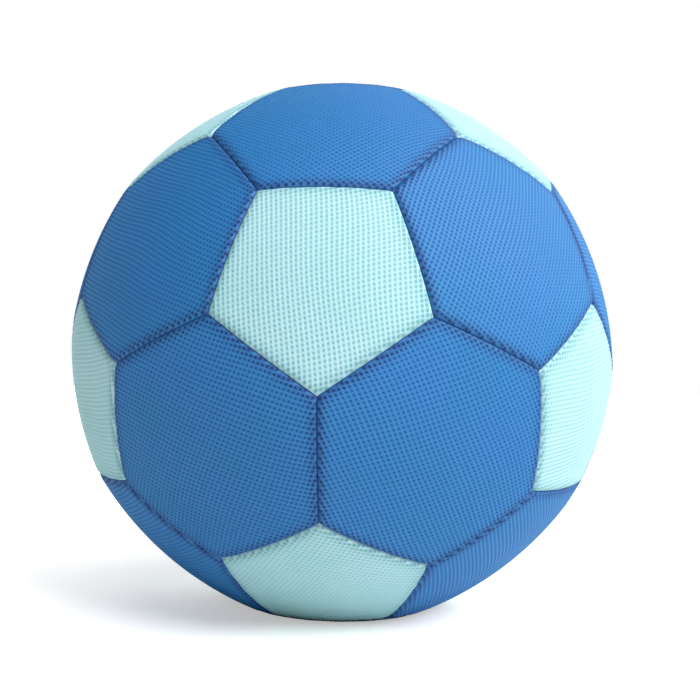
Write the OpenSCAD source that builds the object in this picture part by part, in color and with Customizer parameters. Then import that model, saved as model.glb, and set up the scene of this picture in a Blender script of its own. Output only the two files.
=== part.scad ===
// Large soft play ball: a sewn spacer-mesh cover of pentagons and hexagons,
// closed by a zip in one hexagon, over an inflated vinyl bladder with a stopper valve.
// The origin is the middle of the flat patch that the ball rests on, with +Z up.

/* [Ball] */
// Diameter over opposite seam corners, inflated
ball_d = 400; // [360:10:460]
// Radius of curvature of a hexagon panel, as a multiple of the ball's radius
panel_curve = 1.2; // [1.15:0.05:1.6]
// Radius of the resting patch, as a share of the way to the middle of a hexagon's side
foot_share = 0.96; // [0.5:0.02:0.96]

/* [Cover] */
// Thickness of the spacer mesh
cover_t = 2.5; // [1.8:0.1:3]
// Gap between two panels at a seam
seam_gap = 0.3; // [0.2:0.05:0.5]
// Thickness of one turned-in seam allowance
allowance_t = 1.2; // [0.8:0.1:1.6]
// Diameter of the sewing thread
thread_d = 0.6; // [0.4:0.1:0.8]

/* [Zip] */
// Width of the slot between the two zipped half panels
slot_w = 10; // [9.5:0.5:13]
// Length of the slot along the zip
slot_l = 136; // [130:1:136]
// Distance between teeth
tooth_pitch = 2.5; // [2.5:0.1:4]
// Thickness of a tooth, through the zip
tooth_t = 2.2; // [1.8:0.1:2.2]
// Width of one tape, from the teeth to its outer edge
tape_w = 11; // [8:0.5:11]
// Thickness of a tape
tape_t = 0.6; // [0.4:0.1:0.6]
// Length of the pull tab from its pivot
tab_l = 24; // [18:1:28]

/* [Bladder] */
// Wall of the vinyl bladder
bladder_t = 0.4; // [0.3:0.1:0.8]
// Radius of the round discs at the two poles of the bladder
disc_r = 32; // [26:1:40]
// Radius of the well
well_r = 15; // [14:0.5:18]

/* [Valve] */
// Radius of the air passage
bore_r = 3.2; // [2.6:0.1:4]
// Height of the stem above the floor of the well
stem_h = 5.4; // [5:0.1:6]
// Distance that the stopper pulls out
stopper_travel = 7; // [5:0.5:7]

/* [Hidden] */
$fn = 96;
phi = (1 + sqrt(5)) / 2;
turn = 360;
R = ball_d / 2;

// A truncated icosahedron's side, and how far its flat faces lie from the centre
side = 4 * R / sqrt(58 + 18 * sqrt(5));
hex_in = side * cos(30);
pent_in = side / 2 / tan(36);
hex_h = sqrt(R * R - side * side);
pent_h = sqrt(R * R - pow(side / 2 / sin(36), 2));

// Panels are caps of larger spheres whose centres drop below the ball's own. The drops
// are in inverse proportion to hex_h and pent_h, so that neighbours meet in a plane
// through the ball's centre.
hex_r = panel_curve * R;
hex_drop = sqrt(hex_h * hex_h - R * R + hex_r * hex_r) - hex_h;
pent_drop = hex_drop * hex_h / pent_h;
pent_r = sqrt(R * R + 2 * pent_drop * pent_h + pent_drop * pent_drop);
hex_crown = hex_r - hex_drop;

// Height of the ball's centre above the resting patch
foot_r = foot_share * hex_in;
rest_h = sqrt(hex_r * hex_r - foot_r * foot_r) - hex_drop;

// Directions of the panels, in rings around the vertical: sine of the elevation, and
// the azimuths, counted from -Y towards +X
low_third = [0, 120, 240];
high_third = [60, 180, 300];
belt_turn = atan(sqrt(3) / pow(phi, 3));
pent_steep = sqrt((5 + 2 * sqrt(5)) / 15);
pent_shallow = sqrt((5 - 2 * sqrt(5)) / 15);
hex_steep = sqrt(5) / 3;
hex_shallow = 1 / 3;
function both_sides(azimuths) = [for (a = azimuths, s = [-1, 1]) a + s * belt_turn];
rings = [
    ["pentagon_lower", 5, -pent_steep, low_third],
    ["pentagon_low_belt", 5, -pent_shallow, high_third],
    ["pentagon_high_belt", 5, pent_shallow, low_third],
    ["pentagon_upper", 5, pent_steep, high_third],
    ["hexagon_lower", 6, -hex_steep, high_third],
    ["hexagon_low_belt", 6, -hex_shallow, both_sides(low_third)],
    ["hexagon_high_belt", 6, hex_shallow, both_sides(high_third)],
    ["hexagon_upper", 6, hex_steep, low_third]
];
function direction(rise, azimuth) =
    let (flat = sqrt(1 - rise * rise))
    [flat * sin(azimuth), -flat * cos(azimuth), rise];
ring_panels = [
    for (ring = rings)
        for (i = [0 : len(ring[3]) - 1])
            [str(ring[0], "_", i + 1), ring[1], direction(ring[2], ring[3][i])]
];
pentagon_dirs = [for (p = ring_panels) if (p[1] == 5) p[2]];

// The zip is in one rear hexagon of the high belt
zip_azimuth = 180 + belt_turn;
zip_dir = direction(hex_shallow, zip_azimuth);
zip_side_pentagon = direction(pent_shallow, 240);
panels = [for (p = ring_panels) if (norm(p[2] - zip_dir) > 0.01) p];

// Depths along the zip, from the outside of the panel
chain_depth = cover_t + 0.9;
guard_depth = chain_depth + 3;
guard_t = 0.4;
dent_depth = guard_depth + 0.8;
zip_r = hex_r - chain_depth;
tooth_in = 0.6;
tooth_w = 2.3;
tape_in = tooth_in + tooth_w + 0.05;
tape_l = slot_l;
slider_l = 10;
slider_w = 8.4;
slider_gap = 0.2;
plate_t = 1;
stop_at = slot_l / 2 - 4.5;
stop_l = 2;
slider_at = stop_at - stop_l / 2 - slider_l / 2 - 1;
tooth_count = floor(2 * (stop_at - stop_l) / tooth_pitch);
stitch_at = slot_w / 2 + 2.5;
plate_z = tooth_t / 2 + slider_gap;
pivot_z = plate_z + plate_t + 2.1;
pin_r = 1.05;
pin_gap = 0.1;
bridge_r = 2.2;
bridge_w = 2;
tab_w = 6.8;
tab_t = 1;

// The bladder bulges freely, is pressed flat over the foot, and dents behind the zip
lip_r = hex_crown - cover_t - 1.5;
seam_stitch_r = lip_r + 1.8;
bladder_r = lip_r - 0.4;
bladder_foot_h = rest_h - cover_t - 0.4;
dent_r = hex_r - dent_depth;
well_top = hex_crown - dent_depth;
flange_t = 0.8;
stem_r = 5.4;
stopper_gap = 0.05;
stopper_cap_r = 6.4;
stopper_cap_t = 1.8;
well_depth = bladder_t + stem_h + stopper_gap + stopper_cap_t + stopper_travel + 0.35;
well_floor = well_top - well_depth;

gore_count = 6;
gore_start = 30;
gore_names = [for (i = [1 : gore_count]) str("bladder_gore_", i)];

function unit(v) = v / norm(v);

// A pentagon next to the panel that faces n
function next_pentagon(n) = [for (q = pentagon_dirs) if (q * n > 0.4 && q * n < 0.99) q][0];

// Turns +Z to face n, with +X towards another direction, about the ball's centre
module facing(n, towards) {
    x = unit(towards - (towards * n) * n);
    y = cross(n, x);
    translate([0, 0, rest_h])
        multmatrix([[x[0], y[0], n[0], 0], [x[1], y[1], n[1], 0], [x[2], y[2], n[2], 0]])
            children();
}

module facing_zip() {
    facing(zip_dir, zip_side_pentagon) children();
}

// Puts its children on each seam plane of a panel, with +X out through the seam
module each_seam(sides) {
    in_r = sides == 6 ? hex_in : pent_in;
    face_h = sides == 6 ? hex_h : pent_h;
    first = sides == 6 ? 0 : 36;
    for (i = [0 : sides - 1]) {
        rotate([0, atan(in_r / face_h), first + i * turn / sides]) children();
    }
}

// The wedge from the ball's centre out through a panel, drawn in from its seams
module wedge(sides, inset) {
    in_r = sides == 6 ? hex_in : pent_in;
    face_h = sides == 6 ? hex_h : pent_h;
    first = sides == 6 ? 0 : 36;
    intersection_for (i = [0 : sides - 1]) {
        rotate([0, atan(in_r / face_h), first + i * turn / sides])
            translate([-R - inset, -R, 0])
                cube([R, 2 * R, 1.2 * R]);
    }
}

// Everything lower than height h
module below(h) {
    translate([-R, -R, h - 2 * R]) cube([2 * R, 2 * R, 2 * R]);
}

// One panel with its seam allowances turned in, cut off flat at height top
module panel(sides, top = 2 * R) {
    curve_r = sides == 6 ? hex_r : pent_r;
    drop = sides == 6 ? hex_drop : pent_drop;
    difference() {
        intersection() {
            translate([0, 0, -drop]) sphere(r = curve_r);
            wedge(sides, seam_gap / 2);
            below(top);
        }
        intersection() {
            translate([0, 0, -drop]) sphere(r = curve_r - cover_t);
            wedge(sides, seam_gap / 2 + allowance_t);
            below(top - cover_t);
        }
        intersection() {
            sphere(r = lip_r);
            below(top - cover_t - 0.1);
        }
    }
}

module cover_panel(sides, n) {
    color(sides == 6 ? "royalblue" : "paleturquoise")
        facing(n, next_pentagon(n))
            panel(sides);
}

module hexagon_base() {
    color("royalblue")
        facing([0, 0, -1], next_pentagon([0, 0, -1]))
            panel(6, rest_h);
}

module hexagon_top() {
    cover_panel(6, [0, 0, 1]);
}

// Half of the zipped hexagon: the left half for -1, the right half for 1
module zip_panel(hand) {
    color("royalblue")
        facing_zip()
            difference() {
                intersection() {
                    panel(6);
                    translate([hand > 0 ? seam_gap / 2 : -R - seam_gap / 2, -R, 0])
                        cube([R, 2 * R, 2 * R]);
                }
                translate([-slot_w / 2, -slot_l / 2, R / 2])
                    cube([slot_w, slot_l, R]);
            }
}

// A bar along the zip's curve between two places on it, from a flat section whose
// x is the height above the middle of the teeth and whose y is across the zip
module along_zip(from, to) {
    per_mm = turn / (2 * PI * zip_r);
    translate([0, 0, -hex_drop])
        rotate([0, -90, 180])
            rotate([0, 0, -to * per_mm])
                rotate_extrude(angle = (to - from) * per_mm)
                    translate([zip_r, 0])
                        children();
}

// Stands its children on the middle of the teeth at a place along the zip
module at_zip(place) {
    translate([0, 0, -hex_drop])
        rotate([-place * turn / (2 * PI * zip_r), 0, 0])
            translate([0, 0, zip_r])
                children();
}

// Thread on the inside of every seam allowance
module seam_thread() {
    run = 20;
    inset = seam_gap / 2 + allowance_t + thread_d / 2 + 0.02;
    all_panels = concat(ring_panels, [["", 6, [0, 0, 1]], ["", 6, [0, 0, -1]]]);
    color("mediumblue")
        for (p = all_panels) {
            facing(p[2], next_pentagon(p[2]))
                each_seam(p[1])
                    translate([-inset, 0, 0])
                        rotate([0, -90, 180])
                            rotate([0, 0, -run / 2])
                                rotate_extrude(angle = run)
                                    translate([seam_stitch_r, 0])
                                        circle(d = thread_d, $fn = 16);
        }
}

module zip_tape(hand) {
    color("midnightblue")
        facing_zip()
            along_zip(-tape_l / 2, tape_l / 2)
                translate([-tape_t / 2, hand > 0 ? tape_in : -tape_in - tape_w])
                    square([tape_t, tape_w]);
}

module zip_teeth(hand) {
    tooth_l = 0.64 * tooth_pitch;
    half_pitch = hand > 0 ? tooth_pitch / 4 : -tooth_pitch / 4;
    color("midnightblue")
        facing_zip()
            for (i = [0 : tooth_count - 1]) {
                at_zip((i - (tooth_count - 1) / 2) * tooth_pitch + half_pitch)
                    translate([hand > 0 ? tooth_in : -tooth_in - tooth_w, -tooth_l / 2, -tooth_t / 2])
                        cube([tooth_w, tooth_l, tooth_t]);
            }
}

module zip_top_stops() {
    color("silver")
        facing_zip()
            for (s = [-1, 1]) {
                at_zip(stop_at)
                    translate([s > 0 ? tooth_in : -tooth_in - tooth_w, -stop_l / 2, -tooth_t / 2])
                        cube([tooth_w, stop_l, tooth_t]);
            }
}

module zip_bottom_stop() {
    color("silver")
        facing_zip()
            at_zip(-stop_at)
                translate([-tape_in + 0.05, -stop_l / 2, -tooth_t / 2])
                    cube([2 * tape_in - 0.1, stop_l, tooth_t]);
}

// A row of thread on the panel along each side of the slot
module zip_stitching() {
    thread_z = chain_depth - stitch_at * stitch_at / (2 * hex_r) + thread_d / 2 + 0.03;
    color("mediumblue")
        facing_zip()
            for (s = [-1, 1]) {
                along_zip(4 - tape_l / 2, tape_l / 2 - 4)
                    translate([thread_z, s * stitch_at])
                        circle(d = thread_d, $fn = 16);
            }
}

// Strip of fabric between the teeth and the bladder
module zip_guard() {
    guard_w = 26;
    color("royalblue")
        facing_zip()
            along_zip(6 - tape_l / 2, tape_l / 2 - 6)
                translate([chain_depth - guard_depth - guard_t, -guard_w / 2])
                    square([guard_t, guard_w]);
}

// One plate of the slider, round at both ends
module slider_plate() {
    round_r = slider_w / 2;
    flat_l = slider_l - 2 * round_r + 3;
    intersection() {
        union() {
            translate([-round_r, -flat_l / 2, 0]) cube([slider_w, flat_l, plate_t]);
            translate([0, flat_l / 2 - 1.5, 0]) cylinder(r = round_r, h = plate_t);
            translate([0, 1.5 - flat_l / 2, 0]) cylinder(r = round_r, h = plate_t);
        }
        translate([-slider_w, -slider_l / 2, 0]) cube([2 * slider_w, slider_l, plate_t]);
    }
}

module zip_slider() {
    flange_w = 0.9;
    flange_l = slider_l - 5;
    slit = tape_t / 2 + 0.15;
    neck_w = 0.8;
    neck_l = 2;
    color("silver")
        facing_zip()
            at_zip(slider_at) {
                translate([0, 0, plate_z]) slider_plate();
                translate([0, 0, -plate_z - plate_t]) slider_plate();
                translate([-neck_w / 2, slider_l / 2 - neck_l - 1, -plate_z - plate_t / 2])
                    cube([neck_w, neck_l, 2 * plate_z + plate_t]);
                for (s = [-1, 1], up = [0, 1]) {
                    translate([
                        s > 0 ? slider_w / 2 - flange_w : -slider_w / 2,
                        -flange_l / 2,
                        up > 0 ? slit : -plate_z - 0.1
                    ])
                        cube([flange_w, flange_l, plate_z - slit + 0.1]);
                }
                difference() {
                    union() {
                        translate([-bridge_w / 2, 0, pivot_z])
                            rotate([0, 90, 0])
                                cylinder(r = bridge_r, h = bridge_w);
                        translate([-bridge_w / 2, -bridge_r, plate_z + plate_t / 2])
                            cube([bridge_w, 2 * bridge_r, pivot_z - plate_z - plate_t / 2]);
                    }
                    translate([-bridge_w, 0, pivot_z])
                        rotate([0, 90, 0])
                            cylinder(r = pin_r + pin_gap, h = 2 * bridge_w);
                }
            }
}

module pull_tab() {
    arm_in = bridge_w / 2 + 0.2;
    arm_w = 1.4;
    arm_r = 1.3;
    plate_from = 5.5;
    color("silver")
        facing_zip()
            at_zip(slider_at)
                translate([0, 0, pivot_z]) {
                    translate([-arm_in - arm_w / 2, 0, 0])
                        rotate([0, 90, 0])
                            cylinder(r = pin_r, h = 2 * arm_in + arm_w);
                    for (s = [-1, 1]) {
                        translate([s > 0 ? arm_in : -arm_in - arm_w, 0, 0]) {
                            rotate([0, 90, 0]) cylinder(r = arm_r, h = arm_w);
                            translate([0, -plate_from - 1, -tab_t / 2])
                                cube([arm_w, plate_from + 1, tab_t]);
                        }
                    }
                    difference() {
                        union() {
                            translate([-tab_w / 2, tab_w / 2 - tab_l, -tab_t / 2])
                                cube([tab_w, tab_l - tab_w / 2 - plate_from, tab_t]);
                            translate([0, tab_w / 2 - tab_l, -tab_t / 2])
                                cylinder(d = tab_w, h = tab_t);
                        }
                        translate([0, tab_w / 2 - tab_l, -tab_t])
                            cylinder(r = 1.5, h = 2 * tab_t);
                    }
                }
}

// The inflated bladder's outside, drawn in by inset
module bladder_body(inset) {
    intersection() {
        facing_zip() sphere(r = bladder_r - inset);
        facing_zip()
            translate([0, 0, -hex_drop])
                sphere(r = dent_r - inset);
        translate([-R, -R, rest_h - bladder_foot_h + inset]) cube(2 * R);
    }
}

module bladder_shell() {
    difference() {
        bladder_body(0);
        bladder_body(bladder_t);
    }
}

// A sector of one gore's width, pole to pole about the zip's direction, clear of the discs
module gore_sector(i) {
    step = turn / gore_count;
    from = gore_start + i * step;
    facing_zip()
        difference() {
            intersection() {
                rotate([0, 0, from]) translate([0, 0, -R]) cube([R, R, 2 * R]);
                rotate([0, 0, from + step - 90]) translate([0, 0, -R]) cube([R, R, 2 * R]);
            }
            cylinder(r = disc_r, h = 3 * R, center = true);
        }
}

module bladder_gore(i) {
    color(i % 2 == 0 ? "white" : "lightblue")
        intersection() {
            bladder_shell();
            gore_sector(i);
        }
}

// The disc that carries the valve in a well
module bladder_disc_front() {
    color("white")
        difference() {
            union() {
                intersection() {
                    bladder_shell();
                    facing_zip() cylinder(r = disc_r, h = R);
                }
                facing_zip()
                    translate([0, 0, well_floor])
                        cylinder(r = well_r + bladder_t, h = well_depth - bladder_t / 2);
            }
            facing_zip()
                translate([0, 0, well_floor + bladder_t])
                    cylinder(r = well_r, h = R);
            facing_zip()
                cylinder(r = bore_r, h = R);
        }
}

module bladder_disc_rear() {
    color("white")
        intersection() {
            bladder_shell();
            facing_zip() mirror([0, 0, 1]) cylinder(r = disc_r, h = R);
        }
}

module valve_stem() {
    flange_r = well_r - 1.5;
    color("ghostwhite")
        facing_zip()
            translate([0, 0, well_floor + bladder_t])
                difference() {
                    union() {
                        cylinder(r = flange_r, h = flange_t);
                        cylinder(r = stem_r, h = stem_h);
                    }
                    translate([0, 0, -1]) cylinder(r = bore_r, h = stem_h + 2);
                }
}

module valve_stopper() {
    shank_h = stem_h - 0.4;
    color("deepskyblue")
        facing_zip()
            translate([0, 0, well_floor + bladder_t + stem_h + stopper_gap]) {
                translate([0, 0, -shank_h]) cylinder(r = bore_r - stopper_gap, h = shank_h);
                cylinder(r = stopper_cap_r, h = stopper_cap_t);
            }
}

for (p = panels) {
    cover_panel(p[1], p[2]);
}
hexagon_base();
hexagon_top();
zip_panel(-1);  // zip_panel_left
zip_panel(1);  // zip_panel_right
seam_thread();
zip_tape(-1);  // zip_tape_left
zip_tape(1);  // zip_tape_right
zip_teeth(-1);  // zip_teeth_left
zip_teeth(1);  // zip_teeth_right
zip_top_stops();
zip_bottom_stop();
zip_stitching();
zip_guard();
zip_slider();
pull_tab();
for (i = [0 : gore_count - 1]) {
    bladder_gore(i);
}
bladder_disc_front();
bladder_disc_rear();
valve_stem();
valve_stopper();
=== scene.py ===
import math

import bmesh
import bpy
import numpy as np
from mathutils import Matrix, Vector
from mathutils.geometry import delaunay_2d_cdt


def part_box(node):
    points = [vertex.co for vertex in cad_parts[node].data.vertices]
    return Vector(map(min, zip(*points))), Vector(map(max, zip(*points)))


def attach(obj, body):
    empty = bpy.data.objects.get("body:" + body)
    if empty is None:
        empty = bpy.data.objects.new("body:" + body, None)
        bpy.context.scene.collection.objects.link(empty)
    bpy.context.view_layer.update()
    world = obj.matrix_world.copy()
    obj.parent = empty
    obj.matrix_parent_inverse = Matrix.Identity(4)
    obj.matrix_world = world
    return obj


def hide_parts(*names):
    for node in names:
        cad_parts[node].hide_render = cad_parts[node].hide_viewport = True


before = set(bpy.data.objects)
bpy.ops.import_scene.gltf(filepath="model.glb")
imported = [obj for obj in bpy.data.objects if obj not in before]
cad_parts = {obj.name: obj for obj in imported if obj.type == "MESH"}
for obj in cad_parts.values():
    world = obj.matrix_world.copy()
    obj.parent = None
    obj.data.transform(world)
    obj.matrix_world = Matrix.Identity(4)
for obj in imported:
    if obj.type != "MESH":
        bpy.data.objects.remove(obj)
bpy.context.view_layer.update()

MM = 0.001

# ---------------------------------------------------------------- the ball's shape
# A truncated icosahedron whose panels are caps of larger spheres, as in part.scad. With a ball
# of radius 1 these give the total height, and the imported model's height then gives the radius.
PANEL_CURVE = 1.2
FOOT_SHARE = 0.96
PHI = (1 + math.sqrt(5)) / 2
SIDE = 4 / math.sqrt(58 + 18 * math.sqrt(5))
HEX_IN = SIDE * math.cos(math.radians(30))
PENT_IN = SIDE / 2 / math.tan(math.radians(36))
HEX_H = math.sqrt(1 - SIDE**2)
PENT_H = math.sqrt(1 - (SIDE / 2 / math.sin(math.radians(36))) ** 2)
HEX_DROP = math.sqrt(HEX_H**2 - 1 + PANEL_CURVE**2) - HEX_H
PENT_DROP = HEX_DROP * HEX_H / PENT_H
PENT_CURVE = math.sqrt(1 + 2 * PENT_DROP * PENT_H + PENT_DROP**2)
REST_H = math.sqrt(PANEL_CURVE**2 - (FOOT_SHARE * HEX_IN) ** 2) - HEX_DROP
CROWN = PANEL_CURVE - HEX_DROP

BALL_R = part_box("hexagon_top")[1].z / (REST_H + CROWN)
CENTRE = Vector((0, 0, REST_H * BALL_R))
LIP_R = CROWN * BALL_R - 4.3 * MM

# Sine of the elevation of each ring of panels, and their azimuths from -Y towards +X
LOW_THIRD = (0, 120, 240)
HIGH_THIRD = (60, 180, 300)
BELT_TURN = math.degrees(math.atan(math.sqrt(3) / PHI**3))
PENT_STEEP = math.sqrt((5 + 2 * math.sqrt(5)) / 15)
PENT_SHALLOW = math.sqrt((5 - 2 * math.sqrt(5)) / 15)
RINGS = (
    ("pentagon_lower", 5, -PENT_STEEP, LOW_THIRD),
    ("pentagon_low_belt", 5, -PENT_SHALLOW, HIGH_THIRD),
    ("pentagon_high_belt", 5, PENT_SHALLOW, LOW_THIRD),
    ("pentagon_upper", 5, PENT_STEEP, HIGH_THIRD),
    ("hexagon_lower", 6, -math.sqrt(5) / 3, HIGH_THIRD),
    ("hexagon_low_belt", 6, -1 / 3, [a + s * BELT_TURN for a in LOW_THIRD for s in (-1, 1)]),
    ("hexagon_high_belt", 6, 1 / 3, [a + s * BELT_TURN for a in HIGH_THIRD for s in (-1, 1)]),
    ("hexagon_upper", 6, math.sqrt(5) / 3, LOW_THIRD),
)
ZIP_NODE = "hexagon_high_belt_4"


def direction(rise, azimuth):
    """Unit vector to a panel: rise is the sine of its elevation."""
    flat = math.sqrt(1 - rise**2)
    a = math.radians(azimuth)
    return Vector((flat * math.sin(a), -flat * math.cos(a), rise))


panel_dirs = {
    f"{ring}_{i + 1}": (sides, direction(rise, azimuth))
    for ring, sides, rise, azimuths in RINGS
    for i, azimuth in enumerate(azimuths)
}
pentagon_dirs = [d for sides, d in panel_dirs.values() if sides == 5]
zip_dir = panel_dirs.pop(ZIP_NODE)[1]
panel_dirs["hexagon_base"] = (6, Vector((0, 0, -1)))
panel_dirs["hexagon_top"] = (6, Vector((0, 0, 1)))


def facing(n, towards):
    """Matrix that turns +Z to n, with +X towards another direction, about the ball's centre."""
    x = (towards - towards.dot(n) * n).normalized()
    y = n.cross(x)
    turn = Matrix((x, y, n)).transposed().to_4x4()
    return Matrix.Translation(CENTRE) @ turn


def next_pentagon(n):
    return next(q for q in pentagon_dirs if 0.4 < q.dot(n) < 0.99)


ZIP_FRAME = facing(zip_dir, direction(PENT_SHALLOW, 240))

# ---------------------------------------------------------------- the panels
PITCH = 2.92 * MM  # of the spacer mesh's holes
HOLE_R = 0.88 * MM
HOLE_DEPTH = 1.05 * MM
BAR_DEPTH = 0.2 * MM  # the bars between two holes lie lower than the ribs
RIM_DEPTH = 0.16 * MM
RIM_SHADE = 0.35  # how much of a hole's painted shade its rim takes
BAR_SHADE = 0.22  # and the bars between two holes, painted shade where they lie lower
CORNER_STRETCH = 1.12  # a hole is slightly square, with its corners further out
WANDER = 0.7 * MM  # how far the knit's rows wander from straight
WANDER_LENGTHS = (70 * MM, 110 * MM)
CELL_CLEAR = 1.5 * MM  # least distance from a whole cell to the seam
HOLE_CLEAR = 0.2 * MM  # and from a hole
RIM_REACH = 1.3 * HOLE_R  # room that a hole's rim takes among the rows of points at a seam
ROW_CLEAR = 0.1 * MM
SEAM_OPENS = 0.28  # how much wider the holes are pulled at a seam
OPENS_FROM, OPENS_OVER = 1.5 * MM, 4.2 * MM
STRIP_OPENS = 1 + SEAM_OPENS * 0.6  # the most that a hole in the strip at a seam is pulled
SMALLEST_HOLE = 0.4  # next to a seam, as a share of a whole hole's radius
SKEW_ROOM = 1.32  # how much further than its radius a hole's rim may reach on the skewed lattice
GAP = 0.1 * MM  # half of the gap between two panels at their seam
CORNER_SOFT = 1.25 * MM  # how far the distance to the seams is rounded where two of them meet
EDGE_ROWS = (0.45 * MM, 1.0 * MM)  # rows of points beside the outline
ROLL_W = 3.4 * MM  # how far from the seam a panel's edge starts to roll in
ROLL_DEPTH = 2.6 * MM
SLOT_ROLL = 0.35  # how much of that roll an edge at the slot has
PUCKER, PUCKER_STEP, PUCKER_REACH = 0.16 * MM, 3.4 * MM, 4 * MM
FULL_DEPTH = 0.4 * MM  # how far from the seam holes and puckers have their whole depth
EDGE_SHADE = 0.8 * MM  # how far the painted shade along a seam reaches
COVER_T = 2.5 * MM
ALLOWANCE = 1.4 * MM
SLOT_HEM = 1.6 * MM  # how deep an edge at the slot goes before it turns in
SLOT_STEP, LIP_STEP = 0.1 * MM, 0.3 * MM  # from the back up to the fold, at the slot and elsewhere
FLOOR_CLEAR = 0.3 * MM  # the turned-in parts stay above the floor
BACK_GRID, BACK_CLEAR = 10 * MM, 4 * MM  # points of the back face, and their distance from its edge
STEP = 1.45 * MM  # between points along an edge
HEM_POINTS, END_POINTS = 6, 4  # along the middle line past the slot, and across half its end
SLOT_W = 10 * MM
SLOT_L = 136 * MM
PATTERN_SCALE = 10  # the pattern's UV map is in tenths of a metre
FRONT_HALF, BACK_HALF = 0.485, 0.0679  # half the width of the outside and the back in OFBake
BACK_AT = 0.075  # the back's middle
RING_SPREAD = (1.12, 1.06)  # and how much larger the rings of the turned-in edge are there


class Cap:
    """The shape of one kind of panel, in its own frame: a spherical cap cut by its seam planes."""

    def __init__(self, sides, hand=0):
        self.sides = sides
        self.hand = hand
        self.curve = (PANEL_CURVE if sides == 6 else PENT_CURVE) * BALL_R
        self.drop = (HEX_DROP if sides == 6 else PENT_DROP) * BALL_R
        in_r, face_h = (HEX_IN, HEX_H) if sides == 6 else (PENT_IN, PENT_H)
        self.tilt = math.atan(in_r / face_h)
        first = 0 if sides == 6 else 36
        self.turns = np.radians(first + np.arange(sides) * 360 / sides)
        self.half_side = math.pi / sides
        self.out = np.stack(
            [
                np.cos(self.turns) * math.cos(self.tilt),
                np.sin(self.turns) * math.cos(self.tilt),
                np.full(sides, -math.sin(self.tilt)),
            ]
        )

    def normal(self, q):
        r = np.hypot(q[:, 0], q[:, 1])
        tilt = r / self.curve
        flat = np.sin(tilt) / np.maximum(r, 1e-9)
        return np.stack([flat * q[:, 0], flat * q[:, 1], np.cos(tilt)], 1)

    def point(self, q):
        """Places on the smooth cap, from places q on the flat pattern."""
        p = self.normal(q) * self.curve
        p[:, 2] -= self.drop
        return p

    def seam_r(self, angle, inset):
        """How far the seam is from the middle of the flat pattern, at each angle."""
        turn = angle[:, None] - self.turns[None, :]
        a = self.curve * np.cos(turn) * math.cos(self.tilt)
        b = self.curve * math.sin(self.tilt)
        c = self.drop * math.sin(self.tilt) + inset
        away = np.where(a > 1e-4, np.arctan2(b, a) - np.arcsin(c / np.hypot(a, b)), 9.0)
        return away.min(1) * self.curve

    def distances(self, q):
        """From each place to each seam, and to the slot's edges on a zipped half."""
        d = -self.point(q) @ self.out
        if self.hand:
            x = q[:, 0] * self.hand
            past = np.abs(q[:, 1]) - SLOT_L / 2
            corner = np.hypot(np.maximum(x - SLOT_W / 2, 0), np.maximum(past, 0))
            inside = (x < SLOT_W / 2) & (past < 0)
            d = np.column_stack([d, x - GAP, np.where(inside, -1 * MM, corner)])
        return d

    def inside(self, q, inset=0.0):
        """Which places lie further than inset from every seam."""
        return self.distances(q).min(1) > inset

    def to_seam(self, q):
        """Distance from the outline, rounded where two seams meet, and which seam is nearest."""
        d = np.maximum(self.distances(q), 0)
        rounded = -np.log(np.exp(-d / CORNER_SOFT).sum(1)) * CORNER_SOFT
        return np.maximum(rounded - GAP, 0), d.argmin(1)

    def edge(self, inset):
        """Outline drawn in by inset, as places on the flat pattern, and which are on the slot."""
        per_side = int(round(SIDE * BALL_R / STEP))
        t = np.arange(per_side) / per_side * 2 - 1
        within = np.arctan(t * math.tan(self.half_side))
        if not self.hand:
            angle = np.concatenate([turn + within for turn in self.turns])
            r = self.seam_r(angle, inset)
            q = np.stack([r * np.cos(angle), r * np.sin(angle)], 1)
            return q, np.zeros(len(q), bool)
        x0 = GAP + inset
        last = math.pi / 2
        for _ in range(4):
            last = math.acos(x0 / self.seam_r(np.array([last]), inset)[0])
        angle = np.concatenate([turn + within for turn in np.radians([-60, 0, 60])])
        angle = np.append(angle, math.pi / 2) * last * 2 / math.pi
        r = self.seam_r(angle, inset)
        around = np.stack([r * np.cos(angle), r * np.sin(angle)], 1)
        top = around[-1, 1]
        x1, y1 = SLOT_W / 2 + inset, SLOT_L / 2 + inset
        corners = [(x0, top), (x0, y1), (x1, y1), (x1, -y1), (x0, -y1), (x0, -top)]
        counts = [HEM_POINTS, END_POINTS, int(SLOT_L / STEP), END_POINTS, HEM_POINTS]
        line = []
        for (a, b), n in zip(zip(corners, corners[1:]), counts):
            share = (np.arange(n) + (0 if line else 1)) / (n if line else n + 1)
            line.append(np.array(a) + share[:, None] * (np.array(b) - np.array(a)))
        line = np.concatenate(line)
        q = np.concatenate([around, line])
        on_slot = np.arange(len(q)) >= len(around)
        if self.hand < 0:
            q = q * (-1, 1)
            q, on_slot = q[::-1], on_slot[::-1]
        return q, on_slot


def ring_edges(start, count):
    return [(start + i, start + (i + 1) % count) for i in range(count)]


def flat_triangles(points, loops, keep):
    """Triangles between places on the flat pattern, along the given edges, inside loop 0."""
    coords = [Vector((x / MM, y / MM)) for x, y in points]
    edges = [e for loop in loops for e in loop]
    hull = [a for a, b in loops[0]]
    _, _, faces, origin, _, _ = delaunay_2d_cdt(coords, edges, [hull], 1, 1e-5, True)
    first = [o[0] if o else -1 for o in origin]
    out = []
    for face in faces:
        tri = [first[i] for i in face]
        if min(tri) < 0 or len(set(tri)) < 3:
            continue
        (ax, ay), (bx, by), (cx, cy) = (points[i] for i in tri)
        if (bx - ax) * (cy - ay) - (by - ay) * (cx - ax) < 0:
            tri.reverse()
        out.append(tri)
    out = np.array(out)
    return out[keep(points[out].mean(1))]


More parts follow.
